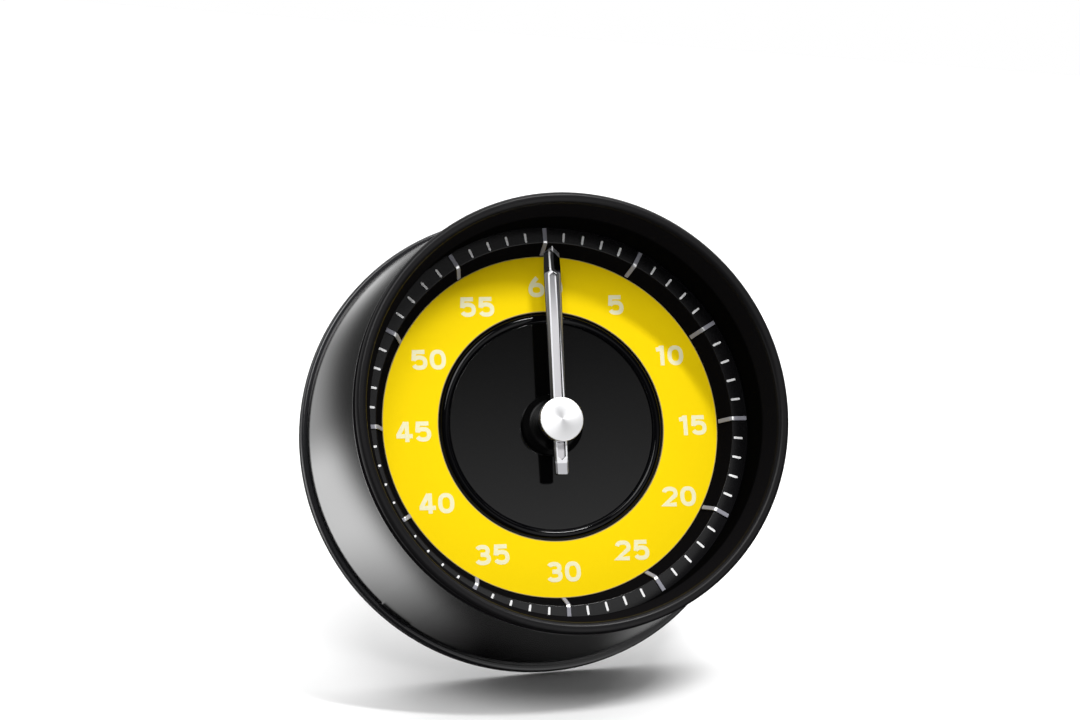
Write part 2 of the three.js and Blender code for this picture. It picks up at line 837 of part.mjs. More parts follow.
// An arbor between the plates with its wheel at one level and its pinion one level below. A tooth of
// the wheel points to the next arbor, and a gap of the pinion to the driving wheel.
function trainWheel(wheelPoints, toothModule, level, driverDirection, nextDirection) {
  const wheel = sheet(wheelPoints, wheelThickness).rotateZ(radians(nextDirection));
  const pinionLow = levelAt(level - 1) - running / 2;
  const pinionHeight = levelAt(level) - pinionLow + overlap;
  const pinion = sheet(gearPoints(pinionTeeth, toothModule), pinionHeight);
  pinion.rotateZ(radians(driverDirection + 180 / pinionTeeth));
  return joined([
    disc(pivotRadius, arborLength, screwFacets),
    raised(pinion, pinionLow),
    raised(wheel, levelAt(level)),
  ]);
}

const directionTo = (from, to) => degrees(Math.atan2(to.y - from.y, to.x - from.x));
const centre = new THREE.Vector2();

const mainWheel = sheet(gearPoints(mainTeeth, mainModule), wheelThickness, [
  circlePoints(arborRadius + fit, smallFacets),
]);
add(base, 'main_wheel', mainWheel, finishes.brass, trainLow, centre, secondAngle);

const secondWheel = trainWheel(
  gearPoints(secondTeeth, trainModule),
  mainModule,
  1,
  directionTo(secondPlace, centre),
  directionTo(secondPlace, thirdPlace),
);
add(turningCase, 'second_wheel', secondWheel, finishes.brass, backPlateLow, secondPlace);

const thirdWheel = trainWheel(
  gearPoints(thirdTeeth, trainModule),
  trainModule,
  2,
  directionTo(thirdPlace, secondPlace),
  directionTo(thirdPlace, escapePlace),
);
add(turningCase, 'third_wheel', thirdWheel, finishes.brass, backPlateLow, thirdPlace);

const escapeWheel = trainWheel(
  escapePoints(),
  trainModule,
  3,
  directionTo(escapePlace, thirdPlace),
  directionTo(escapePlace, palletPlace),
);
add(turningCase, 'escape_wheel', escapeWheel, finishes.brass, backPlateLow, escapePlace);

// ---- pallet anchor and balance, on one arbor ----

// The anchor reaches to both sides of the escape wheel, and its two pads stand clear of the teeth.
function palletAnchor() {
  const padCircle = escapeRadius + palletClearance;
  const reach = [-1, 1].map((side) => {
    const padAngle = 180 + side * palletPadAngle;
    const pad = new THREE.Vector2(palletDistance, 0).add(pointAt(padCircle, padAngle));
    const angle = degrees(Math.atan2(pad.y, pad.x));
    const arm = new THREE.BoxGeometry(pad.length(), 2 * pivotRadius, wheelThickness);
    arm.translate(pad.length() / 2, 0, wheelThickness / 2).rotateZ(radians(angle));
    return arm;
  });
  const arms = joined([...reach, disc(2 * pivotRadius, wheelThickness, screwFacets)]);
  arms.rotateZ(radians(directionTo(palletPlace, escapePlace)));
  return joined([raised(arms, levelAt(3)), disc(pivotRadius, arborLength, screwFacets)]);
}

add(turningCase, 'pallet_anchor', palletAnchor(), finishes.steel, backPlateLow, palletPlace);

function balanceWheel() {
  const rim = ring(balanceRadius, balanceRadius - balanceRim, wheelThickness, balanceFacets);
  const spokeLength = 2 * balanceRadius - balanceRim;
  const spoke = new THREE.BoxGeometry(spokeLength, balanceSpoke, wheelThickness);
  const hub = disc(pivotRadius + fit + balanceHubWall, wheelThickness, smallFacets);
  const bore = disc(pivotRadius + fit, wheelThickness + 2 * overcut, smallFacets);
  const blank = joined([rim, raised(spoke, wheelThickness / 2), hub]);
  return cut(blank, [raised(bore, -overcut)]);
}

const balanceLow = trainLow + 4 * levelPitch;
add(turningCase, 'balance_wheel', balanceWheel(), finishes.brass, balanceLow, palletPlace);

// ---- mainspring and trip cam on the centre arbor ----

// A flat strip wound in an even spiral from the arbor outward.
function mainspring() {
  const inner = arborRadius + springStrip / 2 + running;
  const outer = springOuterRadius - springStrip / 2;
  const steps = springTurns * springFacets;
  const offsetAt = (step, offset) =>
    pointAt(inner + ((outer - inner) * step) / steps + offset, (360 * springTurns * step) / steps);
  const outside = [];
  const inside = [];
  for (let step = 0; step <= steps; step += 1) {
    outside.push(offsetAt(step, springStrip / 2));
    inside.push(offsetAt(step, -springStrip / 2));
  }
  return sheet([...outside, ...inside.reverse()], springHeight);
}

const springLow = trainLow + levelPitch + wheelThickness + running;
add(base, 'mainspring', mainspring(), finishes.springSteel, springLow);

const springPost = disc(postRadius, frontPlateLow - springLow, screwFacets);
const springPostPlace = pointAt(springOuterRadius + running + postRadius, springPostAngle);
add(turningCase, 'spring_post', springPost, finishes.steel, springLow, springPostPlace);

function tripCam() {
  const bore = circlePoints(arborRadius + fit, smallFacets);
  const cam = sheet(circlePoints(camRadius, hubFacets), wheelThickness, [bore]);
  const notch = new THREE.BoxGeometry(2 * camNotch, camNotch, wheelThickness + 2 * overcut);
  notch.translate(camRadius, 0, wheelThickness / 2);
  return cut(cam, [notch]);
}

add(base, 'trip_cam', tripCam(), finishes.steel, balanceLow, centre, hammerAngle);

// ---- hammer ----

const hammerPin = disc(pivotRadius, plateSpacing, screwFacets);
add(turningCase, 'hammer_pin', hammerPin, finishes.steel, backPlateTop, hammerPlace);

// A tube on the pin, an arm with the striking head next to the bell's wall, and a tail whose nose
// rides just off the cam's rim.
function hammer() {
  const low = trainLow + 2 * levelPitch;
  const headCircle = bellRadius - bellThickness - hammerBellGap - hammerHeadRadius;
  const headPlace = pointAt(headCircle, hammerHeadAngle).sub(hammerPlace);
  const tubeRadius = pivotRadius + running + hammerTubeWall;
  const arm = new THREE.BoxGeometry(headPlace.length(), hammerArmWidth, wheelThickness);
  arm.translate(headPlace.length() / 2, 0, wheelThickness / 2);
  arm.rotateZ(Math.atan2(headPlace.y, headPlace.x));
  const head = disc(hammerHeadRadius, 2 * wheelThickness, smallFacets);
  head.translate(headPlace.x, headPlace.y, 0);
  const tailLength = hammerCircle - camRadius - running;
  const tail = new THREE.BoxGeometry(tailLength, hammerArmWidth, wheelThickness);
  tail.translate(-tailLength / 2, 0, balanceLow - low + wheelThickness / 2);
  tail.rotateZ(radians(hammerAngle));
  const tube = disc(tubeRadius, balanceLow - low + wheelThickness, smallFacets);
  const bore = raised(disc(pivotRadius + running, plateSpacing, smallFacets), -overcut);
  return { low, geometry: cut(joined([tube, arm, head, tail]), [bore]) };
}

const hammerPiece = hammer();
add(turningCase, 'hammer', hammerPiece.geometry, finishes.steel, hammerPiece.low, hammerPlace);

export default group;
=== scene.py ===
import math

import bmesh
import bpy
import numpy as np
from mathutils import Matrix, Vector


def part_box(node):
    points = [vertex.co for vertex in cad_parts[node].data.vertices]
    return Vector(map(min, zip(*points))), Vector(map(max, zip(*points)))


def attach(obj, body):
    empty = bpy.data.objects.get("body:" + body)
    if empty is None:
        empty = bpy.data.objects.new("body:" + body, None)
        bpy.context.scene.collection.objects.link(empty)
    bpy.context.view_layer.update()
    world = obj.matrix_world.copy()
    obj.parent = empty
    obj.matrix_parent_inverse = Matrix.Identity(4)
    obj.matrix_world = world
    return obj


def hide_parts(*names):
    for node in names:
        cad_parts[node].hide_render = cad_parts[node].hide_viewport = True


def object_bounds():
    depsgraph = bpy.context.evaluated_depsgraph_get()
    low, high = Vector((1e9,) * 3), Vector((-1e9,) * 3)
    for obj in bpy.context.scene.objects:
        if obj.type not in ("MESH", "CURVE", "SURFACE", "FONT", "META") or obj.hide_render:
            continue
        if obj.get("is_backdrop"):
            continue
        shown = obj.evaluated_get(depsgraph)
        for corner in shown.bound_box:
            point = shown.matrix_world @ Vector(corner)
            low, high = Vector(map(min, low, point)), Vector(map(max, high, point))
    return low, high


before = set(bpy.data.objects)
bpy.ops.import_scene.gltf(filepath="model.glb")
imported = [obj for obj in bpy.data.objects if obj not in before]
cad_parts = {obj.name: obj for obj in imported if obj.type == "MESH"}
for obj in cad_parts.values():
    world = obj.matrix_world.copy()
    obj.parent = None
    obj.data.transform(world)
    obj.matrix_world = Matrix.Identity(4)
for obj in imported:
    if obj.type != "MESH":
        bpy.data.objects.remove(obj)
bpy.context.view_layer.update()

MM = 0.001


# ---- Camera ----
# It looks at the dial from a little below and to the left of the dial's axis, through a long lens, with the
# object in the lower middle of the view.
camera_tilt, camera_turn, camera_roll = 17.75, -145.95, 3.71
camera_distance, camera_lens = 534, 116.7
camera_aim = (-1.785, 10.04)  # rightward and upward from the dial's centre


def leaning(tilt, turn):
    """The unit vector that leans tilt degrees off +Z, towards turn degrees from +X."""
    tilt, turn = math.radians(tilt), math.radians(turn)
    return Vector((math.sin(tilt) * math.cos(turn), math.sin(tilt) * math.sin(turn), math.cos(tilt)))


back = leaning(camera_tilt, camera_turn)
twelve = leaning(90, 90 - camera_roll)
up = (twelve - twelve.dot(back) * back).normalized()
right = up.cross(back)
dial_centre = Vector((0, 0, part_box("yellow_dial")[1].z))
aim = dial_centre + (right * camera_aim[0] + up * camera_aim[1]) * MM
camera = bpy.data.objects.new("camera", bpy.data.cameras.new("camera"))
camera.data.lens = camera_lens
camera.matrix_world = Matrix((right, up, back)).transposed().to_4x4()
camera.location = aim + back * camera_distance * MM
bpy.context.scene.collection.objects.link(camera)
bpy.context.scene.camera = camera


# ---- Base cover ----
# The disc that stays still against the door: near-black ABS with a polished rim, injection moulded. Its back
# has a groove for the foot, three pockets for magnets and a counterbore for the screw under the arbor.
base_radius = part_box("base_cover")[1].x / MM
base_back, base_thickness, base_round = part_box("base_cover")[0].z / MM, 2.3, 0.45
boss_radius, boss_top = 4.5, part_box("thrust_washer")[0].z / MM
guide_outer, guide_inner, guide_top = 32.6, 31.2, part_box("base_cover")[1].z / MM
foot_outer, foot_inner, foot_sunk = 34.0, 30.0, 0.6
fit = 0.2  # the gap round a piece that is pressed or glued in
TURN = np.linspace(0, 2 * np.pi, 192, endpoint=False)  # the angles of a turned piece's columns
crease_angle = 32  # degrees; faces that turn by more meet in a sharp edge
tiny = 1e-9  # a length below this counts as none
least_sweep = 1e-6  # radians, so that a straight corner has an arc too
merge_distance = 1e-7  # metres


def rounded(corners, radius, steps=6, hold=0.05):
    """The closed outline of the corners, each replaced by an arc of its radius. An arc starts and ends at
    radius / tan(half the corner's angle) from the corner, and one more point past each of its ends keeps
    the straight runs flat."""
    corners = np.asarray(corners, float)
    radius = np.broadcast_to(np.asarray(radius, float), len(corners))
    before, after = (np.roll(corners, step, axis=0) - corners for step in (1, -1))
    before, after = (way / np.linalg.norm(way, axis=1, keepdims=True) for way in (before, after))
    half = np.arccos(np.clip((before * after).sum(axis=1), -1, 1)) / 2
    sweep = np.maximum(np.pi - 2 * half, least_sweep)[:, None]
    reach = (radius / np.tan(half))[:, None]
    middle = before + after
    middle /= np.maximum(np.linalg.norm(middle, axis=1, keepdims=True), tiny)
    centre = middle * (radius / np.sin(half))[:, None]
    share = np.linspace(0, 1, steps + 1)
    first, last = before * reach - centre, after * reach - centre
    weights = np.sin((1 - share) * sweep), np.sin(share * sweep)
    arcs = weights[0][..., None] * first[:, None] + weights[1][..., None] * last[:, None]
    arcs /= np.sin(sweep)[..., None]
    past = reach + hold * (radius > 0)[:, None]
    runs = [(before * past)[:, None], centre[:, None] + arcs, (after * past)[:, None]]
    return (corners[:, None] + np.concatenate(runs, axis=1)).reshape(-1, 2)


def turned(outline, angles=TURN):
    """An outline of (radius, height) points, listed anticlockwise, carried round the axis: x is the radius
    times the angle's cosine, y the radius times its sine, and z the height."""
    radius, height = np.asarray(outline, float).T[..., None]
    return np.stack(np.broadcast_arrays(radius * np.cos(angles), radius * np.sin(angles), height), axis=-1)


def woven(name, *grids, crease=crease_angle):
    """A mesh piece of grids of places (rows, columns, 3). A face joins each four neighbours. The columns
    close on themselves, and so do the rows, unless the first row is a single point: then both ends are
    points. Faces meet in a sharp edge where they turn by more than the crease's degrees."""
    places, faces, count = [], [], 0
    for grid in grids:
        index = count + np.arange(grid[..., 0].size).reshape(grid.shape[:2])
        count += index.size
        index = np.hstack([index, index[:, :1]])
        if np.ptp(grid[0], axis=0).max() > tiny:
            index = np.vstack([index, index[:1]])
        neighbours = index[:-1, :-1], index[:-1, 1:], index[1:, 1:], index[1:, :-1]
        faces.append(np.stack(neighbours, axis=-1).reshape(-1, 4))
        places.append(grid.reshape(-1, 3) * MM)
    mesh = bpy.data.meshes.new(name)
    mesh.from_pydata(np.vstack(places).tolist(), [], np.vstack(faces).tolist())
    merging = bmesh.new()
    merging.from_mesh(mesh)
    bmesh.ops.remove_doubles(merging, verts=merging.verts, dist=merge_distance)
    merging.to_mesh(mesh)
    merging.free()
    mesh.shade_smooth()
    mesh.set_sharp_from_angle(angle=math.radians(crease))
    piece = bpy.data.objects.new(name, mesh)
    bpy.context.scene.collection.objects.link(piece)
    return piece


def cut(piece, *tools):
    """Takes the closed grids of the tools away from a piece."""
    for tool in tools:
        knife = woven("knife", tool)
        step = piece.modifiers.new("cut", "BOOLEAN")
        step.operation, step.solver, step.object = "DIFFERENCE", "EXACT", knife
        mesh = bpy.data.meshes.new_from_object(piece.evaluated_get(bpy.context.evaluated_depsgraph_get()))
        piece.modifiers.clear()
        piece.data = mesh
        bpy.data.objects.remove(knife)
    piece.data.set_sharp_from_angle(angle=math.radians(crease_angle))


def moved(grid, x=0.0, y=0.0, z=0.0):
    """The grid shifted by x, y and z."""
    return grid + np.array([x, y, z])


class Wire:
    """One output of a shader node. Arithmetic on wires adds Math nodes, and node() adds any other kind."""

    def __init__(self, socket):
        self.socket = socket

    def node(self, kind, settings=None, values=None, output=0):
        """A node of the kind. Its settings are set first, then the values or links of its sockets."""
        tree = self.socket.id_data
        made = tree.nodes.new("ShaderNode" + kind)
        for name, value in (settings or {}).items():
            setattr(made, name, value)
        for name, value in (values or {}).items():
            if isinstance(value, Wire):
                tree.links.new(value.socket, made.inputs[name])
            else:
                made.inputs[name].default_value = value
        return Wire(made.outputs[output]) if made.outputs else None

    def sum(self, operation, first, second=0.0):
        """A Math node's result on one or two wires or numbers."""
        return self.node("Math", {"operation": operation}, {0: first, 1: second})

    def __add__(self, other):
        return self.sum("ADD", self, other)

    def __sub__(self, other):
        return self.sum("SUBTRACT", self, other)

    def __rsub__(self, other):
        return self.sum("SUBTRACT", other, self)

    def __mul__(self, other):
        return self.sum("MULTIPLY", self, other)

    __radd__, __rmul__ = __add__, __mul__

    def ramp(self, low, high):
        """0 below low, 1 above high, and a smooth step between them."""
        values = {"Value": self, "From Min": low, "From Max": high}
        return self.node("MapRange", {"interpolation_type": "SMOOTHSTEP"}, values)

    def blend(self, first, second):
        """The first colour where this wire is 0, and the second where it is 1."""
        values = {0: self}
        for number, tint in ((6, first), (7, second)):
            values[number] = tint if isinstance(tint, Wire) else (*tint, 1)
        return self.node("Mix", {"data_type": "RGBA"}, values, 2)

    def noise(self, size, detail=2.0, stretch=(1, 1, 1)):
        """Smooth noise about 0.5 with lumps size millimetres across, longer along an axis by its stretch."""
        scale = tuple(1 / (size * times) for times in stretch)
        place = self.node("VectorMath", {"operation": "MULTIPLY"}, {0: self, 1: scale})
        return place.node("TexNoise", {}, {"Vector": place, "Scale": 1.0, "Detail": detail})

    def height(self):
        """The third number of a place, a direction or a normal."""
        return self.node("SeparateXYZ", {}, {0: self}, 2)

    def radius(self):
        """Distance from the turning axis."""
        flat = self.node("VectorMath", {"operation": "MULTIPLY"}, {0: self, 1: (1, 1, 0)})
        return flat.node("VectorMath", {"operation": "LENGTH"}, {0: flat}, 1)

    def surface(self, tint, roughness, relief, depth, **constants):
        """Ends the material in a Principled shader. Relief runs from 0 to 1, over depth millimetres."""
        values = {name.replace("_", " "): value for name, value in constants.items()}
        values["Base Color"] = tint if isinstance(tint, Wire) else (*tint, 1)
        values["Roughness"] = roughness
        values["Normal"] = self.node("Bump", {}, {"Height": relief, "Distance": depth * MM})
        self.node("OutputMaterial", {}, {"Surface": self.node("BsdfPrincipled", {}, values)})


def material(name):
    """A new material, and the wire of its places in millimetres, from which its pattern starts."""
    made = bpy.data.materials.new(name)
    made.use_nodes = True
    made.node_tree.nodes.clear()
    start = Wire(made.node_tree.nodes.new("ShaderNodeTexCoord").outputs["Object"])
    return made, start.node("VectorMath", {"operation": "SCALE"}, {0: start, "Scale": 1 / MM})


def fitted(piece, finish, body, slot, *nodes):
    """Gives a piece its finish and the body that it rides on, and hides the nodes it stands for. The slot is
    not used.
    """
    piece.data.materials.clear()
    piece.data.materials.append(finish)
    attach(piece, body)
    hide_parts(*nodes)


base_front = base_back + base_thickness
base_outline = rounded(
    [(0, base_back), (foot_inner - fit, base_back), (foot_inner - fit, base_back + foot_sunk),
     (foot_outer + fit, base_back + foot_sunk), (foot_outer + fit, base_back), (base_radius, base_back),
     (base_radius, base_front), (guide_outer, base_front), (guide_outer, guide_top), (guide_inner, guide_top),
     (guide_inner, base_front), (boss_radius, base_front), (boss_radius, boss_top), (0, boss_top)],
    [0, 0.15, 0.1, 0.1, 0.15, base_round, base_round, 0.1, 0.2, 0.2, 0.1, 0.3, 0.2, 0])
base_cover = woven("base_cover_moulding", turned(base_outline))
magnet_radius, magnet_circle, magnet_turns = 6.0, 19.0, (90, 210, 330)
pocket_radius, pocket_depth, pocket_flare = magnet_radius + fit, 1.5, 0.25
overcut = 1  # how far a cutting shape starts outside the piece
pocket = rounded([(0, base_back - overcut), (pocket_radius + overcut + pocket_flare, base_back - overcut),
                  (pocket_radius, base_back + pocket_flare), (pocket_radius, base_back + pocket_depth),
                  (0, base_back + pocket_depth)], 0)
magnet_spots = [leaning(90, turn) * magnet_circle for turn in magnet_turns]
sink_radius, sink_flare, sink_depth = 2.2, 0.2, 0.9
screw_hole, arbor_bore, web_front = 1.0, 1.7, 1.3  # a thin web parts the screw's head from the arbor
counterbore = turned([(0, base_back - overcut), (sink_radius + overcut + sink_flare, base_back - overcut),
                      (sink_radius, base_back + sink_flare), (sink_radius, base_back + sink_depth),
                      (screw_hole, base_back + sink_depth), (screw_hole, base_back + web_front),
                      (arbor_bore, base_back + web_front), (arbor_bore, boss_top + overcut),
                      (0, boss_top + overcut)])
cut(base_cover, *[moved(turned(pocket), spot.x, spot.y) for spot in magnet_spots], counterbore)
base_black, place = material("base_black")
polish = place.height().ramp(base_back + 0.1, base_back + 0.5)
place.surface(tint=(0.012, 0.012, 0.014), roughness=0.5 - polish * 0.34 + place.noise(2.0) * 0.04,
              relief=place.noise(0.12, 3) * (1 - polish), depth=0.006)
fitted(base_cover, base_black, "base", "base_black", "base_cover")


# ---- Foot ring ----
# A soft ring of black rubber, die-cut and glued into the base's groove. It keeps the back off the paint of
# the door and stands a little proud of the magnets.
foot_top, foot_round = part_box("foot_ring")[1].z / MM, 0.22
foot = rounded([(foot_inner, 0), (foot_outer, 0), (foot_outer, foot_top), (foot_inner, foot_top)], foot_round)
rubber, place = material("foot_rubber")
place.surface(tint=place.noise(0.5, 4).blend((0.014, 0.014, 0.014), (0.03, 0.03, 0.029)),
              roughness=0.8 + place.noise(0.3) * 0.15, relief=place.noise(0.1, 4), depth=0.02)
fitted(woven("foot_ring_rubber", turned(foot)), rubber, "base", "foot_rubber", "foot_ring")


# ---- Magnets ----
# Three sintered discs pressed into the base's pockets, dark grey with a ground face and broken edges. They
# hold the timer to a steel door.
magnet_back, magnet_front = (corner.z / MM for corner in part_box("magnet_1"))
magnet_round = 0.2
magnet = rounded([(0, magnet_back), (magnet_radius, magnet_back), (magnet_radius, magnet_front),
                  (0, magnet_front)], [0, magnet_round, magnet_round, 0])
sintered, place = material("magnet_sintered")
scratches = place.noise(0.15, 3, stretch=(14, 1, 1))
place.surface(tint=place.noise(0.4, 4).blend((0.06, 0.06, 0.064), (0.12, 0.12, 0.125)),
              roughness=0.34 + scratches * 0.2, relief=scratches, depth=0.004, Metallic=0.8)
for number, spot in enumerate(magnet_spots, 1):
    disc = woven(f"magnet_disc_{number}", moved(turned(magnet, TURN[::2]), spot.x, spot.y))
    fitted(disc, sintered, "base", "magnet", f"magnet_{number}")


# ---- Arbor screw, arbor and washers ----
# A turned steel arbor stands on the base, held from behind by one cross-recessed screw. The case turns on
# it between two white acetal parts: a glide ring at the rim and a thrust washer on the boss.
screw_back, screw_top = (corner.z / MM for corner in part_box("arbor_screw"))
head_radius, head_height, shank_radius = 2.0, 0.7, 0.7
cross_width, cross_length, cross_depth = 0.5, 2.3, 0.45
mouth, bottom = 1.2, 0.5  # a slot's size outside the head and at its bottom, as shares of its own
screw = rounded([(0, screw_back), (head_radius, screw_back), (head_radius, screw_back + head_height),
                 (shank_radius, screw_back + head_height), (shank_radius, screw_top), (0, screw_top)],
                [0, 0.3, 0.05, 0.05, 0.1, 0])
arbor_screw = woven("arbor_screw_turned", turned(screw, TURN[::4]))


def bar(width, length, depth, turn):
    """A bar at the origin, for cutting a slot: a rectangle turned by the angle, which shrinks from its
    mouth's share at -depth to its bottom's at +depth. Its four sides close in a point at each end."""
    corner = np.array([(-1, -1), (1, -1), (1, 1), (-1, 1)]) * (length / 2, width / 2)
    corner = corner @ np.array([(math.cos(turn), math.sin(turn)), (-math.sin(turn), math.cos(turn))])
    rows = zip((0, mouth, bottom, 0), (-depth, -depth, depth, depth))
    return np.stack([np.column_stack([corner * share, np.full(4, height)]) for share, height in rows])


cut(arbor_screw, *[moved(bar(cross_width, cross_length, cross_depth, turn), z=screw_back)
                   for turn in (0, math.pi / 2)])


def metal(name, tint, roughness, size, stretch=(1, 1, 1), depth=0.002):
    """A metal finish with fine tool marks: noise of the size, longer along an axis by its stretch, darkens
    the colour by up to 15 percent, and varies the roughness by 0.12."""
    made, place = material(name)
    marks = place.noise(size, 3, stretch)
    dark = tuple(0.85 * part for part in tint)
    place.surface(tint=marks.blend(dark, tint), roughness=roughness + (marks - 0.5) * 0.12, relief=marks,
                  depth=depth, Metallic=1.0)
    return made


machined = metal("machined_steel", (0.45, 0.45, 0.46), 0.32, size=0.2, stretch=(1, 1, 0.25))
fitted(arbor_screw, machined, "base", "machined_steel", "arbor_screw")
acetal, place = material("acetal")
place.surface(tint=(0.8, 0.79, 0.74), roughness=0.42 + place.noise(1.5) * 0.1, relief=place.noise(0.2, 3),
              depth=0.003)


def refinished(finish, *names):
    """Gives a finish to pieces that keep the shape they were loaded with."""
    for name in names:
        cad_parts[name].data.materials.clear()
        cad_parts[name].data.materials.append(finish)


refinished(machined, "centre_arbor")
refinished(acetal, "glide_ring", "thrust_washer")


# ---- Movement ----
# Two stamped brass plates on turned steel pillars hold the gear train, the mainspring and the escapement,
# and a cup-shaped bell is riveted under them. All of it hangs from the dial carrier inside the case.
brass = metal("movement_brass", (0.62, 0.43, 0.16), 0.3, size=0.12, stretch=(25, 1, 1), depth=0.003)
cut_brass = metal("cut_brass", (0.66, 0.47, 0.19), 0.26, size=0.15)
blued = metal("blued_steel", (0.10, 0.14, 0.26), 0.28, size=0.4, stretch=(1, 1, 6))
bell_steel = metal("bell_steel", (0.5, 0.5, 0.5), 0.24, size=0.25, stretch=(1, 1, 0.2))
refinished(brass, "front_plate", "back_plate")
refinished(cut_brass, "main_wheel", "second_wheel", "third_wheel", "escape_wheel", "balance_wheel")
refinished(blued, "mainspring")
refinished(bell_steel, "bell")
refinished(machined, "trip_cam", "pallet_anchor", "hammer", "hammer_pin", "spring_post", "stop_pin",
           "bell_rivet_1", "bell_rivet_2")
for number in (1, 2, 3):
    refinished(machined, f"pillar_{number}", f"movement_screw_{number}", f"bezel_screw_{number}")


# ---- Dial carrier ----
# The glass-filled nylon plate that dial, bezel and movement are screwed to. It is moulded, with one boss for
# each movement screw, and none of it shows once the dial is on.
nylon, place = material("carrier_nylon")
fibres = place.noise(0.25, 4, stretch=(4, 1, 1))
place.surface(tint=fibres.blend((0.018, 0.018, 0.02), (0.036, 0.036, 0.038)), roughness=0.5 + fibres * 0.2,
              relief=fibres, depth=0.01)
refinished(nylon, "dial_carrier")


# ---- Centre disc ----
# The middle of the dial is a disc of polished black acrylic let into the yellow ring. It mirrors the hand and
# the room in front of it.
dial_low, dial_top = (corner.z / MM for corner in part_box("yellow_dial"))
arbor_hole, centre_round = 1.8, 0.03
centre_radius = 15.9  # up to the foot of the bead
centre = rounded([(arbor_hole, dial_low), (centre_radius, dial_low), (centre_radius, dial_top),
                  (arbor_hole, dial_top)], centre_round)
acrylic, place = material("black_acrylic")
place.surface(tint=(0.0015, 0.0015, 0.0016), roughness=0.05 + place.noise(1.5, 3) * 0.03,
              relief=place.noise(0.9), depth=0.0004)
fitted(woven("centre_disc", turned(centre)), acrylic, "case", "dial_black", "centre_dial")


# ---- Bead ring ----
# A raised, piano-black bead between the centre and the yellow, moulded in one ring with a low flange inside.
# Its round crown draws the lamps out into hair-thin lines.
bead_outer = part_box("bead_ring")[1].x / MM
bead_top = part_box("bead_ring")[1].z / MM
bead_inner, bead_crown, bead_round, bead_sunk = 15.92, 16.65, 0.8, 0.02
# The crown is an arc of radius bead_round about a centre that far under the bead's top, down to the dial.
bead_half = math.acos(1 - (bead_top - dial_top) / bead_round)
angle = np.linspace(-bead_half, bead_half, 24)
crown = np.column_stack([bead_crown - bead_round * np.sin(angle),
                         bead_top - bead_round * (1 - np.cos(angle))])
bead = np.vstack([[(bead_inner, dial_low), (bead_outer, dial_low), (bead_outer, dial_top - bead_sunk)], crown,
                  [(bead_inner, dial_top)]])
piano_black, place = material("piano_black")
place.surface(tint=(0.0015, 0.0015, 0.002), roughness=0.05 + place.noise(3.0) * 0.02, relief=place.noise(1.2),
              depth=0.001, Specular_IOR_Level=0.15)
fitted(woven("bead_ring_lacquered", turned(bead)), piano_black, "case", "bead_black", "bead_ring")


# ---- Yellow dial ----
# A flat ring of sheet aluminium printed in satin yellow. The cut edges are bare, and show as hair-thin pale
# lines on both sides of the colour.
dial_outer, dial_inner, dial_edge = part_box("yellow_dial")[1].x / MM, 17.7, 0.05
bare_from, bare_full = 0.16, 0.08  # distances from the cut edges
yellow_ring = rounded([(dial_inner, dial_low), (dial_outer, dial_low), (dial_outer, dial_top),
                       (dial_inner, dial_top)], dial_edge, steps=3)
yellow, place = material("dial_yellow")
radius = place.radius()
bare_outside = radius.ramp(dial_outer - bare_from, dial_outer - bare_full)
bare_inside = 1 - radius.ramp(dial_inner + bare_full, dial_inner + bare_from)
bare = bare_outside + bare_inside
ink = place.noise(0.5, 4).blend((0.97, 0.69, 0.0015), (0.99, 0.715, 0.002))
place.surface(tint=bare.blend(ink, (0.42, 0.33, 0.14)), roughness=0.55 + place.noise(0.8, 3) * 0.08,
              relief=place.noise(0.15, 3), depth=0.002, Specular_IOR_Level=0.04)
fitted(woven("yellow_dial_printed", turned(yellow_ring)), yellow, "case", "dial_yellow", "yellow_dial")


# ---- Numbers ----
# Plain upright numbers 5 to 60, pad printed in creamy white. Each digit is drawn as the strokes of a wide,
# even sans serif: a flat band of ink carried along the middle line of each stroke.
number_circle, digit_height, stroke_width = 22.0, 3.08, 0.64
ink_height, ink_step = 0.02, 0.002  # each next stroke of a digit lies a step higher
print_shift = Vector((0.4, -0.42))  # the numbers sit a little right of and below the middle of the yellow
digit_widths = {"1": 1.6}
digit_width, digit_gap = 2.5, 0.4
squareness, longest_mitre = 0.84, 2.2


def bow(x, y, across, high, start, end, steps=18):
    """An arc of a slightly square ellipse about (x, y), from one angle to another: its cosine and sine are
    raised to the power of squareness with their signs kept."""
    angle = np.radians(np.linspace(start, end, steps))
    flat = np.column_stack([np.cos(angle), np.sin(angle)])
    return np.array([x, y]) + np.sign(flat) * np.abs(flat) ** squareness * [across, high]


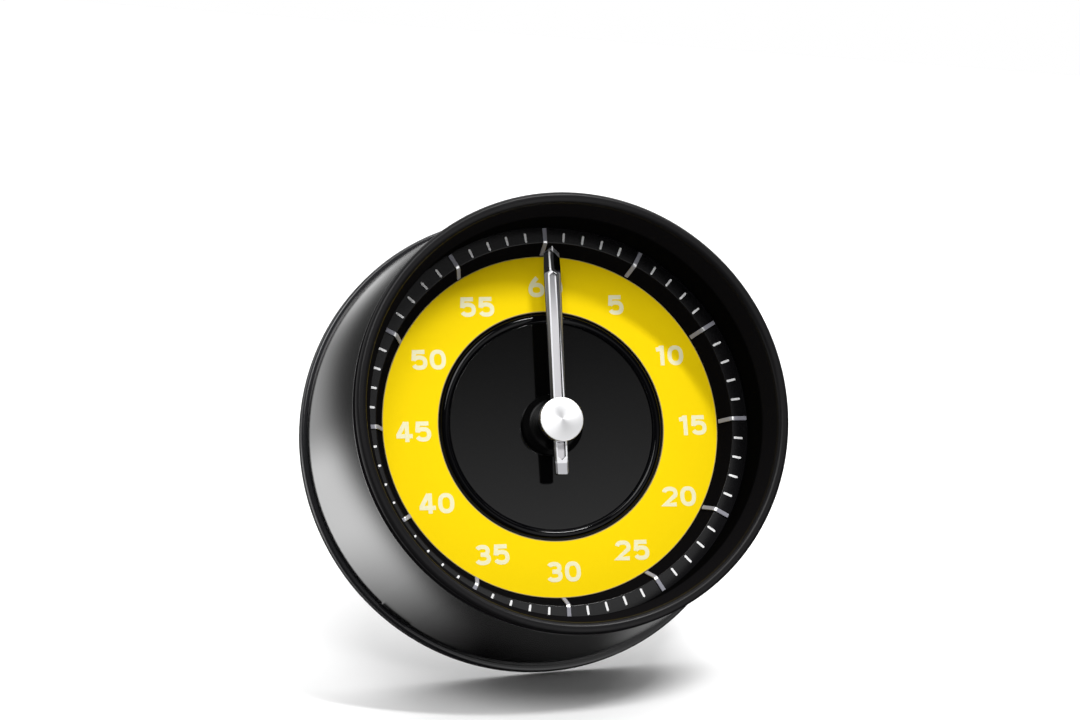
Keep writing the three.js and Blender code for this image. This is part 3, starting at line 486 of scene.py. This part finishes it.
def strokes_of(digit):
    """The middle lines of a digit's strokes about its centre. A line whose ends meet is a closed one."""
    side, top = (digit_width - stroke_width) / 2, (digit_height - stroke_width) / 2
    end = digit_height / 2
    if digit == "0":
        return [bow(0, 0, side, top, 90, 450, 49)]
    if digit == "1":
        flag = np.array([(-0.62, 0.93), (-0.12, 1.0), (0.24, end - 0.2)])
        return [np.array([(0.32, end), (0.32, -end)]), flag]
    if digit == "2":
        return [np.vstack([bow(0, 0.5, 0.92, top - 0.5, 168, -22), [(-0.86, -top)], [(side + 0.06, -top)]])]
    if digit == "3":
        upper = np.vstack([bow(0, 0.63, 0.82, top - 0.63, 158, -82), [(-0.3, 0.05)]])
        lower = np.vstack([[(-0.3, 0.05)], bow(0, -0.58, side, top - 0.58, 82, -158)])
        return [upper, lower]
    if digit == "4":
        foot = -0.66
        return [np.array([(0.42, end), (0.42, -end)]), np.array([(0.2, end - 0.1), (-1.0, foot + 0.05)]),
                np.array([(-1.24, foot), (1.26, foot)])]
    if digit == "5":
        return [np.array([(0.9, top), (-0.74, top), (-0.88, -0.12)]),
                np.vstack([[(-0.84, 0.02)], bow(0, -0.42, side, top - 0.42, 118, -155)])]
    # A 6 is left: its stem is a quadratic curve from its foot to its head, drawn towards a third point.
    share = np.linspace(0, 1, 12)[:, None]
    foot, toward, head = (-side, -0.42), (-side, 0.45), (0.22, end - 0.05)
    stem = (1 - share) ** 2 * foot + 2 * share * (1 - share) * toward + share ** 2 * head
    return [bow(0, -0.42, side, top - 0.42, 90, 450, 49), stem]


def inked(line, x, y, level):
    """One band of ink: at each point of the middle line the band is as wide as the stroke, measured square to
    both neighbouring runs, so corners come out mitred."""
    closed = np.allclose(line[0], line[-1])
    runs = np.diff(line, axis=0)
    runs /= np.linalg.norm(runs, axis=1, keepdims=True)
    before = np.vstack([runs[-1:] if closed else runs[:1], runs])
    after = np.vstack([runs, runs[:1] if closed else runs[-1:]])
    along = before + after
    along /= np.linalg.norm(along, axis=1, keepdims=True)
    mitre = np.minimum(1 / (along * after).sum(axis=1), longest_mitre)
    side = np.column_stack([-along[:, 1], along[:, 0]]) * (mitre * stroke_width / 2)[:, None]
    grid = np.stack([np.column_stack([line + (x, y) + sign * side, np.full(len(line), high)])
                     for sign, high in ((-1, dial_top), (1, dial_top), (1, level), (-1, level))], axis=1)
    if closed:
        return grid[:-1]
    ends = grid.mean(axis=1, keepdims=True).repeat(4, axis=1)
    return np.concatenate([ends[:1], grid, ends[-1:]])


bands = []
for minute in range(5, 65, 5):
    widths = [digit_widths.get(digit, digit_width) for digit in str(minute)]
    spot = leaning(90, 90 - 6 * minute).xy * number_circle + print_shift
    x = spot.x - (sum(widths) + digit_gap * (len(widths) - 1)) / 2
    for digit, width in zip(str(minute), widths):
        for layer, line in enumerate(strokes_of(digit)):
            bands.append(inked(line, x + width / 2, spot.y, dial_top + ink_height + ink_step * layer))
        x += width + digit_gap
white_ink, place = material("white_ink")
place.surface(tint=place.noise(0.3, 4).blend((0.86, 0.82, 0.48), (0.90, 0.85, 0.55)), roughness=0.5,
              relief=place.noise(0.12, 3), depth=0.002)
fitted(woven("dial_numbers", *bands), white_ink, "case", "print_white")


# ---- Chapter ring ----
# A black ring around the dial, injection moulded and lacquered. It rises steeply from the yellow to a ridge,
# and its flat land beyond the ridge carries the minute strokes.
chapter_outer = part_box("chapter_ring")[1].x / MM
chapter_low, chapter_top = (corner.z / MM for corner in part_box("chapter_ring"))
chapter_inner, ridge_radius = 26.5, 27.9
chapter = rounded([(chapter_inner, chapter_low), (chapter_outer, chapter_low), (chapter_outer, chapter_top),
                   (ridge_radius, chapter_top), (chapter_inner, dial_top)], [0.05, 0.05, 0.06, 0.15, 0.04])
lacquer, place = material("chapter_lacquer")
on_land = place.radius().ramp(ridge_radius - 0.1, ridge_radius + 0.2)
place.surface(tint=place.noise(0.6, 3).blend((0.003, 0.0029, 0.0034), (0.005, 0.0048, 0.0056)),
              roughness=0.4 + place.noise(0.5, 3) * 0.08, relief=place.noise(0.12, 3), depth=0.002,
              Specular_IOR_Level=0.0, Coat_Weight=on_land * 0.5, Coat_Roughness=0.2, Coat_IOR=1.8)
fitted(woven("chapter_ring_lacquered", turned(chapter)), lacquer, "case", "chapter_black", "chapter_ring")

stroke_length, stroke_breadth, stroke_middle = 1.45, 0.34, 28.85
stroke_height, stroke_rows = 0.03, 15


def spun(grid, turn):
    """The grid turned about the axis by the angle in degrees."""
    cosine, sine = math.cos(math.radians(turn)), math.sin(math.radians(turn))
    x, y, z = np.moveaxis(grid, -1, 0)
    return np.stack([x * cosine - y * sine, x * sine + y * cosine, z], axis=-1)


def carried(path, side, up, section):
    """The section's (sideways, upward) points, listed anticlockwise, carried along the path: each place is
    the path's point plus s times its side and u times its up. Both ends close in their middle."""
    section = np.broadcast_to(section, (len(path), *np.shape(section)[-2:]))
    side, up = (np.asarray(way)[..., None, :] for way in (side, up))
    grid = path[:, None] + section[..., :1] * side + section[..., 1:] * up
    ends = grid.mean(axis=1, keepdims=True).repeat(grid.shape[1], axis=1)
    return np.concatenate([ends[:1], grid, ends[-1:]])


def minute_stroke():
    """A flat band with half-round ends on the ring's land, along +X: its half width is the stroke's, times
    the root of 1 - the square of how far a place is into a round end."""
    half = stroke_breadth / 2
    along = stroke_length / 2 * np.sin(np.linspace(-np.pi / 2, np.pi / 2, stroke_rows))
    into = np.clip((np.abs(along) - stroke_length / 2 + half) / half, 0, 1)
    wide = half * np.sqrt(np.maximum(1 - into ** 2, 1e-4))
    path = np.column_stack([stroke_middle + along, 0 * along, 0 * along + chapter_top])
    heights = np.broadcast_to((0, 0, stroke_height, stroke_height), (stroke_rows, 4))
    section = np.stack([np.outer(wide, (-1, 1, 1, -1)), heights], axis=-1)
    return carried(path, (0, 1, 0), (0, 0, 1), section)


minutes = [minute for minute in range(60) if minute % 5]
minute_strokes = woven("minute_strokes", *[spun(minute_stroke(), 90 - 6 * minute) for minute in minutes])
stroke_ink, place = material("stroke_ink")
place.surface(tint=place.noise(0.3, 4).blend((0.92, 0.92, 0.92), (0.98, 0.98, 0.98)), roughness=0.5,
              relief=place.noise(0.12, 3), depth=0.002)
fitted(minute_strokes, stroke_ink, "case", "print_white")


# ---- Five-minute markers ----
# Twelve strips of satin aluminium, bent over the ridge of the chapter ring and glued down. The bend is
# slightly polished and catches the light.
marker_width, marker_thickness, marker_lift, marker_round = 0.64, 0.25, 0.05, 0.08
inner_end, outer_end, bend = 26.7, 30.15, 0.4
steep = (chapter_top - dial_top) / (ridge_radius - chapter_inner)
inner_height = dial_top + (inner_end - chapter_inner) * steep
marker_line = rounded([(inner_end, inner_height), (ridge_radius, chapter_top), (outer_end, chapter_top)],
                      [0, bend, 0], steps=8)[:-1]
marker_line = np.unique(marker_line.round(6), axis=0)  # sorted outward, without doubles
along = np.gradient(marker_line, axis=0)
along /= np.linalg.norm(along, axis=1, keepdims=True)
level = np.zeros(len(along))
marker_up = np.column_stack([-along[:, 1], level, along[:, 0]])
marker_path = np.column_stack([marker_line[:, 0], level, marker_line[:, 1]])
marker_path = marker_path + marker_up * (marker_lift + marker_thickness / 2)
marker_corners = np.array([(-1, -1), (1, -1), (1, 1), (-1, 1)]) * (marker_width / 2, marker_thickness / 2)
marker_section = rounded(marker_corners, marker_round, steps=3)
marker_grid = carried(marker_path, (0, 1, 0), marker_up, marker_section)
silver, place = material("marker_silver")
reach = place.radius()
past_slope = reach.ramp(ridge_radius - 0.25, ridge_radius - 0.05)
worn = past_slope * (1 - reach.ramp(ridge_radius + 0.1, ridge_radius + 0.4))
satin = place.noise(0.1, 3).blend((0.24, 0.24, 0.28), (0.38, 0.38, 0.42))
place.surface(tint=worn.blend(satin, (0.9, 0.9, 0.9)), roughness=0.5 - worn * 0.2,
              relief=place.noise(0.08, 3), depth=0.001, Metallic=worn, Specular_IOR_Level=0.0)
for minute in range(0, 60, 5):
    strip = woven(f"five_minute_strip_{minute:02d}", spun(marker_grid, 90 - 6 * minute))
    fitted(strip, silver, "case", "marker_silver", f"marker_{minute:02d}")


# ---- Hand collar ----
# A small domed collar of glossy black plastic that covers the hole in the dial around the arbor. It goes
# round with the case, under the hand.
collar_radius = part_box("hand_collar")[1].x / MM
collar_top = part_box("hand_collar")[1].z / MM
collar_wall, shoulder_radius, shoulder_drop, flat_radius = 0.62, 3.84, 0.24, 2.4
collar = rounded([(arbor_hole, dial_top), (collar_radius, dial_top), (collar_radius, dial_top + collar_wall),
                  (shoulder_radius, collar_top - shoulder_drop), (flat_radius, collar_top),
                  (arbor_hole, collar_top)], [0.05, 0.1, 0.5, 0.8, 0.4, 0.1], steps=8)
collar_black, place = material("collar_black")
place.surface(tint=(0.002, 0.002, 0.002), roughness=0.22 + place.noise(2.0) * 0.05, relief=place.noise(0.5),
              depth=0.002, Specular_IOR_Level=0.1)
fitted(woven("hand_collar_domed", turned(collar)), collar_black, "case", "bead_black", "hand_collar")


# ---- Front bezel ----
# Lip and recess wall in one satin black moulding, screwed to the carrier from behind. Inside the rounded lip
# a bevel narrows the recess, and below its edge the wall goes straight down to the chapter ring.
lip_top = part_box("front_bezel")[1].z / MM
lip_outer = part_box("front_bezel")[1].x / MM
lip_height, bevel_depth, recess_gap = 2.45, 4.5, 0.3
lip_low, bevel_edge, recess_low = lip_top - lip_height, lip_top - bevel_depth, chapter_top + recess_gap
lip_inner, wall_foot, bezel_foot, screwed_foot, neck = 31.85, 30.3, 30.7, 32.96, 32.3
carrier_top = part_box("front_bezel")[0].z / MM
bezel = rounded([(bezel_foot, carrier_top), (screwed_foot, carrier_top), (neck, lip_low),
                 (lip_outer, lip_low), (lip_outer, lip_top), (lip_inner, lip_top), (wall_foot, bevel_edge),
                 (wall_foot, recess_low), (bezel_foot, recess_low)],
                [0.1, 0.1, 0, 0.12, 0.62, 0.8, 0.25, 0.04, 0.04], steps=8)
satin_black, place = material("bezel_satin_black")
peel = place.noise(0.22, 3)
bevel = place.height().ramp(bevel_edge + 0.1, bevel_edge + 0.5)
on_lip = place.height().ramp(lip_top - 1.0, lip_top - 0.4)
# Painted shade: the recess wall below the bevel's edge is painted darker than the bevel and the lip.
place.surface(tint=bevel.blend((0.002, 0.002, 0.0022), (0.006, 0.0057, 0.0063)),
              roughness=0.45 + (peel - 0.5) * 0.12, relief=peel, depth=0.003, Specular_IOR_Level=0.0,
              Coat_Weight=on_lip * 0.3, Coat_Roughness=0.3)
fitted(woven("front_bezel_moulding", turned(bezel)), satin_black, "case", "bezel_black", "front_bezel")


# ---- Outer sleeve ----
# A drawn aluminium sleeve with a satin black coat, slightly waisted, which the fingers turn. Its back edge
# has one small notch, and its front edge meets the bezel's lip in a fine seam.
sleeve_back, sleeve_front = (corner.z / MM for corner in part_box("outer_sleeve"))
back_radius, sleeve_wall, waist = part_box("outer_sleeve")[1].x / MM, 0.8, 0.25
notch_turn, notch_width, notch_height, notch_soft = -131, 5.5, 0.8, 0.25
notch_full, notch_fade = 0.3, 1.2  # heights above the back edge
sleeve_rows = 25
# The radius runs straight from back to front, less 4 times the waist times the share of the height times
# the rest of it.
share = np.linspace(0, 1, sleeve_rows)
heights = sleeve_back + share * (sleeve_front - sleeve_back)
bowed = back_radius + (lip_outer - back_radius) * share - 4 * waist * share * (1 - share)
outside, inside = np.column_stack([bowed, heights]), np.column_stack([bowed - sleeve_wall, heights])
edges = np.zeros(2 * sleeve_rows)
edges[[0, sleeve_rows - 1, sleeve_rows, -1]] = 0.14, 0.06, 0.06, 0.15
sleeve = rounded(np.vstack([outside, inside[::-1]]), edges)
# The notch lifts the back edge: fully up to notch_full, less and less over notch_fade, and in a smooth step
# of width notch_soft at both of its sides, where the columns stand closer.
notch_half = notch_width / 2 / back_radius
notch_centre = math.radians(notch_turn) % (2 * np.pi)
notch_sides = notch_centre + np.linspace(-1.15, 1.15, 47) * notch_half
sleeve_turns = np.sort(np.concatenate([TURN[np.abs(TURN - notch_centre) > 1.2 * notch_half], notch_sides]))
sleeve_grid = turned(sleeve, sleeve_turns)
into_notch = np.clip((notch_width / 2 - np.abs(sleeve_turns - notch_centre) * back_radius) / notch_soft, 0, 1)
near_back = np.clip(1 - (sleeve_grid[..., 2] - sleeve_back - notch_full) / notch_fade, 0, 1)
sleeve_grid[..., 2] += notch_height * near_back * into_notch ** 2 * (3 - 2 * into_notch)
sleeve_black, place = material("sleeve_satin_black")
peel = place.noise(0.3, 3)
place.surface(tint=peel.blend((0.004, 0.004, 0.0042), (0.007, 0.007, 0.0072)),
              roughness=0.4 + (peel - 0.5) * 0.1, relief=peel, depth=0.0002, Specular_IOR_Level=0.0,
              Coat_Weight=1.0, Coat_Roughness=0.12, Coat_IOR=2.0)
fitted(woven("outer_sleeve_coated", sleeve_grid), sleeve_black, "case", "sleeve_black", "outer_sleeve")


# ---- Hand ----
# One blade of pressed and polished steel, gabled like a roof, with a sunk groove along its middle in front
# and in the tail. Flat rims stand on both sides of the groove; towards the tip they join in a fine ridge.
hand_low, hand_top = (corner.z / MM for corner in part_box("hand_blade"))
hand_turn, longer_tip, shorter_tail = -1.05, 0.7, 0.55
hand_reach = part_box("hand_blade")[1].y / MM + longer_tip
hand_tail = -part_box("hand_blade")[0].y / MM - shorter_tail
rim, groove_half, groove_depth = 0.24, 0.62, 0.4
near_hub, edge_break, edge_fall, groove_draft, hand_crease = 1.3, 0.08, 0.05, 0.06, 18


def blade(way, reach, stations, half_widths, split, point, hair, drop):
    """Half of the hand, from the hub outward along +Y or -Y. At each distance from the hub the section is
    as wide as the half widths say. Its crest is a hair's half width beyond the split and widens inward over
    the point's length; the groove has the crest's shape, a rim's width further in. The edges lie a drop
    below the crest."""
    narrowing = reach - split - point
    out = np.unique(np.concatenate([np.linspace(near_hub, narrowing - 1, 12),
                                    np.linspace(narrowing - 1, reach, 60), stations]))
    half = np.interp(out, stations, half_widths)
    crest = np.interp(out, [narrowing, reach - split], [groove_half + rim, hair])
    groove = np.interp(out, [narrowing - rim, reach - split - 2.2 * rim], [groove_half, 0])
    crest = np.minimum(crest, 0.9 * half)
    groove = np.minimum(groove, 0.9 * crest)
    depth = np.where(groove > 0, groove_depth, 0)
    edge = np.minimum(edge_break, 0.4 * half)
    wall = np.maximum(groove - groove_draft, 0)
    none = np.zeros_like(out)
    tall = none + hand_top - hand_low
    sides = [half, half, half - edge, crest, groove, wall]
    levels = [none + edge_break, tall - drop - edge_fall, tall - drop, tall, tall, tall - depth]
    across = [edge - half, half - edge, *sides, *[-side for side in sides[::-1]]]
    high = [none, none, *levels, *levels[::-1]]
    path = np.column_stack([none, way * out, none + hand_low])
    section = np.stack([np.stack(across, axis=1), np.stack(high, axis=1)], axis=-1)
    return carried(path, (-way, 0, 0), (0, 0, 1), section)


front_blade = blade(1, hand_reach, [near_hub, hand_reach - 3.6, hand_reach - 0.95, hand_reach],
                    [1.15, 1.3, 1.2, 0.1], split=3.45, point=0.8, hair=0.1, drop=0.45)
tail_blade = blade(-1, hand_tail, [near_hub, hand_tail - 0.15, hand_tail], [1.15, 1.0, 0.7],
                   split=1.6, point=0.9, hair=0.75, drop=0.2)
hub_inner, hub_outer = 1.2, 2.9
hub_outline = [(hub_inner, hand_low), (hub_outer, hand_low), (hub_outer, hand_top), (hub_inner, hand_top)]
hub = turned(rounded(hub_outline, edge_break, steps=3), TURN[::2])
# The flanks of the tip, the end of the tail and the groove's floor are darker than the rims, and the cut
# edges are nearly black.
# On the flanks, the floor and the cut edges this is painted shade: the floor grows darker towards the tip,
# and the cut edges are not metallic. The chevron is the tip's blunt point.
polished, place = material("hand_steel")
across, along = (place.node("SeparateXYZ", {}, {0: place}, axis) for axis in (0, 1))
at_tip = along.ramp(hand_reach - 4.3, hand_reach - 3.7)
sides = across.sum("ABSOLUTE", across)
chevron = (along + sides * 0.86).ramp(hand_reach - 0.42, hand_reach - 0.32)
at_tail = 1 - along.ramp(1.6 - hand_tail, 1.8 - hand_tail)
facing = place.node("NewGeometry", {}, {}, "Normal").height()
aside = sides + at_tip * (groove_half + rim - 0.1)
middle = 1 - aside.ramp(groove_half + rim, groove_half + rim + 0.06)
low = 1 - place.height().ramp(hand_top - groove_depth + 0.02, hand_top - groove_depth + 0.15)
# Painted shade: the tip's flanks are painted darker than the rims.
shaded_flank = at_tip * (1 - middle) * (1 - chevron)
# Painted shade: the faces that don't face up, the cut edges, are painted nearly black and not metallic.
cut_edge = 1 - facing.ramp(0.4, 0.9)
floor = low * (1 - aside.ramp(groove_half + 0.02, groove_half + 0.1))
# Painted shade: the groove's floor is painted darker towards the tip.
floor_painted_shade = along.ramp(hand_reach - 13, hand_reach - 4).blend((0.58, 0.57, 0.59), (0.24, 0.24, 0.25))
grain = place.noise(0.05, 3, stretch=(1, 12, 1))
crest_tint = shaded_flank.blend(at_tail.blend((0.8, 0.8, 0.82), (0.46, 0.46, 0.48)), (0.3, 0.3, 0.32))
gloss = 0.08 + middle * 0.28 + chevron * 0.3 + cut_edge * 0.3 + (grain - 0.5) * 0.04
place.surface(tint=cut_edge.blend(floor.blend(crest_tint, floor_painted_shade), (0.01, 0.01, 0.01)), roughness=gloss,
              relief=grain, depth=0.0002, Metallic=1 - cut_edge)
parts = [spun(part, hand_turn) for part in (front_blade, tail_blade, hub)]
hand = woven("hand_blade_pressed", *parts, crease=hand_crease)
fitted(hand, polished, "base", "hand_steel", "hand_blade")


# ---- Hub cap ----
# A spun aluminium cap, a shallow cone with fine turning marks, pressed over the hub of the hand. It stands
# still with the hand and the arbor.
cap_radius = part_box("hub_cap")[1].x / MM
cap_low, cap_top = (corner.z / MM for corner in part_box("hub_cap"))
cone_height = 0.4
cap = rounded([(0, cap_low), (cap_radius, cap_low), (cap_radius, cap_top - cone_height), (0, cap_top)],
              [0, 0.1, 0.16, 0], steps=8)
spun_aluminium, place = material("cap_aluminium")
lathe = place.node("CombineXYZ", {}, {0: place.radius()}).noise(0.05, 3)
place.surface(tint=lathe.blend((0.73, 0.73, 0.74), (0.83, 0.83, 0.84)), roughness=0.36 + (lathe - 0.5) * 0.14,
              relief=lathe, depth=0.0004, Metallic=1.0, Anisotropic=0.45)
fitted(woven("hub_cap_spun", turned(cap)), spun_aluminium, "base", "cap_aluminium", "hub_cap")


# ---- Studio ----
# The timer leans back with the rim of its base on a white table, before a white backdrop. A small key lamp, a
# large soft one and a broad top lamp stand above the dial. Polished faces mirror a dark room with a few light
# cards in it, and never the table, which shows from above only.
table_rise = 12  # degrees by which the camera looks down on the table
table_up = up * math.cos(math.radians(table_rise)) + back * math.sin(math.radians(table_rise))
table_down = base_radius * table_up.xy.length - base_back * table_up.z
table_half = 700
table_along = table_up.orthogonal().normalized()
table_across = table_up.cross(table_along)
corners = [(-table_down * table_up + table_half * (x * table_along + y * table_across)) * MM
           for x, y in ((-1, -1), (1, -1), (1, 1), (-1, 1))]
table = bpy.data.objects.new("table", bpy.data.meshes.new("table"))
table.data.from_pydata([tuple(corner) for corner in corners], [], [(0, 1, 2, 3)])
bpy.context.scene.collection.objects.link(table)
paper = bpy.data.materials.new("paper")
paper.use_nodes = True
paper.node_tree.nodes.clear()
seen = Wire(paper.node_tree.nodes.new("ShaderNodeLightPath").outputs["Is Camera Ray"])
lit = seen.node("BsdfDiffuse", {}, {"Color": seen.blend((0.55, 0.55, 0.55), (0.95, 0.95, 0.95))})
behind = seen.node("NewGeometry", {}, {}, "Backfacing")
mirrored = seen.node("LightPath", {}, {}, "Is Glossy Ray")
hidden = seen.sum("MAXIMUM", behind, mirrored)
sheet = seen.node("MixShader", {}, {0: hidden, 1: lit, 2: seen.node("BsdfTransparent")})
seen.node("OutputMaterial", {}, {"Surface": sheet})
table.data.materials.append(paper)
table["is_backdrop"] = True

lamp_distance = 2  # metres


def lamp(name, tilt, turn, size, watts, along=0):
    """An area lamp aimed at the dial from lamp_distance: tilt degrees off the dial's axis, towards turn
    degrees from +X. Its longer side points towards along degrees from +X."""
    data = bpy.data.lights.new(name, "AREA")
    data.shape, data.energy = "RECTANGLE", watts
    data.size, data.size_y = size
    way = leaning(tilt, turn)
    side = leaning(90, along)
    side = (side - side.dot(way) * way).normalized()
    made = bpy.data.objects.new(name, data)
    made.matrix_world = Matrix((side, way.cross(side), way)).transposed().to_4x4()
    made.location = way * lamp_distance
    bpy.context.scene.collection.objects.link(made)


lamp("key", tilt=38.5, turn=70, size=(0.5, 0.11), watts=20.5, along=135)
lamp("soft", tilt=31, turn=115, size=(0.82, 0.82), watts=17.5)
lamp("top", tilt=92, turn=77, size=(3, 3), watts=44)

world = bpy.data.worlds.new("studio")
world.use_nodes = True
world.node_tree.nodes.clear()
direction = Wire(world.node_tree.nodes.new("ShaderNodeTexCoord").outputs["Generated"])
seen = direction.node("LightPath")
mirrored = direction.node("LightPath", {}, {}, "Is Glossy Ray")
front = direction.height().ramp(-0.1, 0.6)
x, y = (direction.node("SeparateXYZ", {}, {0: direction}, axis) for axis in (0, 1))
slant = direction.radius()
# Level with the dial and behind it, cards stand to the left and above, with a weak one to the right. The
# slant at which the strong ones begin grows with the square of the lean, so their inner edge is a curve.
card_begins, card_full, card_bow = 0.297, 0.353, 0.36
card_light, beside_light, faint_light, rear_fill = 2.25, 0.3, 0.03, 0.6
lean = y * 0.77 - x * 0.64
left = y.ramp(-0.47, -0.11) * (1 - y.ramp(0.05, 0.2) * 0.5) * (1 - x.ramp(-0.25, 0.1))
above = y.ramp(0.1, 0.25) * x.ramp(-0.2, 0.1) * (1 - x.ramp(0.05, 0.2) * 0.5)
beside = x.ramp(0.22, 0.33) * y.ramp(-0.15, 0.05) * beside_light
faint = (1 - slant.ramp(0.32, 0.4)) * faint_light
strong = (slant - lean * lean * card_bow).ramp(card_begins, card_full) * (left + above) * card_light
rear_cards = strong + beside + faint
rear_light = rear_fill + mirrored * (rear_cards - rear_fill)
# In front of the dial one card stands to the right, brighter below. The fill there grows towards the top.
room_light, front_card_light, more_below = 0.05, 0.85, 0.8
below = 1 - y.ramp(-0.15, 0.05)
front_card = x.ramp(-0.12, 0.18) * (1 - x.ramp(0.5, 0.8)) * (1 - y.ramp(0.08, 0.2))
front_room = room_light + front_card * (1 + below * more_below) * front_card_light
front_fill = 0.1 + y.ramp(-0.1, 0.6) * 0.25
front_light = front_fill + mirrored * (front_room - front_fill)
light = rear_light + front * (front_light - rear_light)
background = direction.node("Background", {}, {"Color": (1, 1, 1, 1), "Strength": seen + (1 - seen) * light})
background.node("OutputWorld", {}, {"Surface": background})
bpy.context.scene.world = world
bpy.context.scene.view_settings.view_transform = "Standard"

low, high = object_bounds()
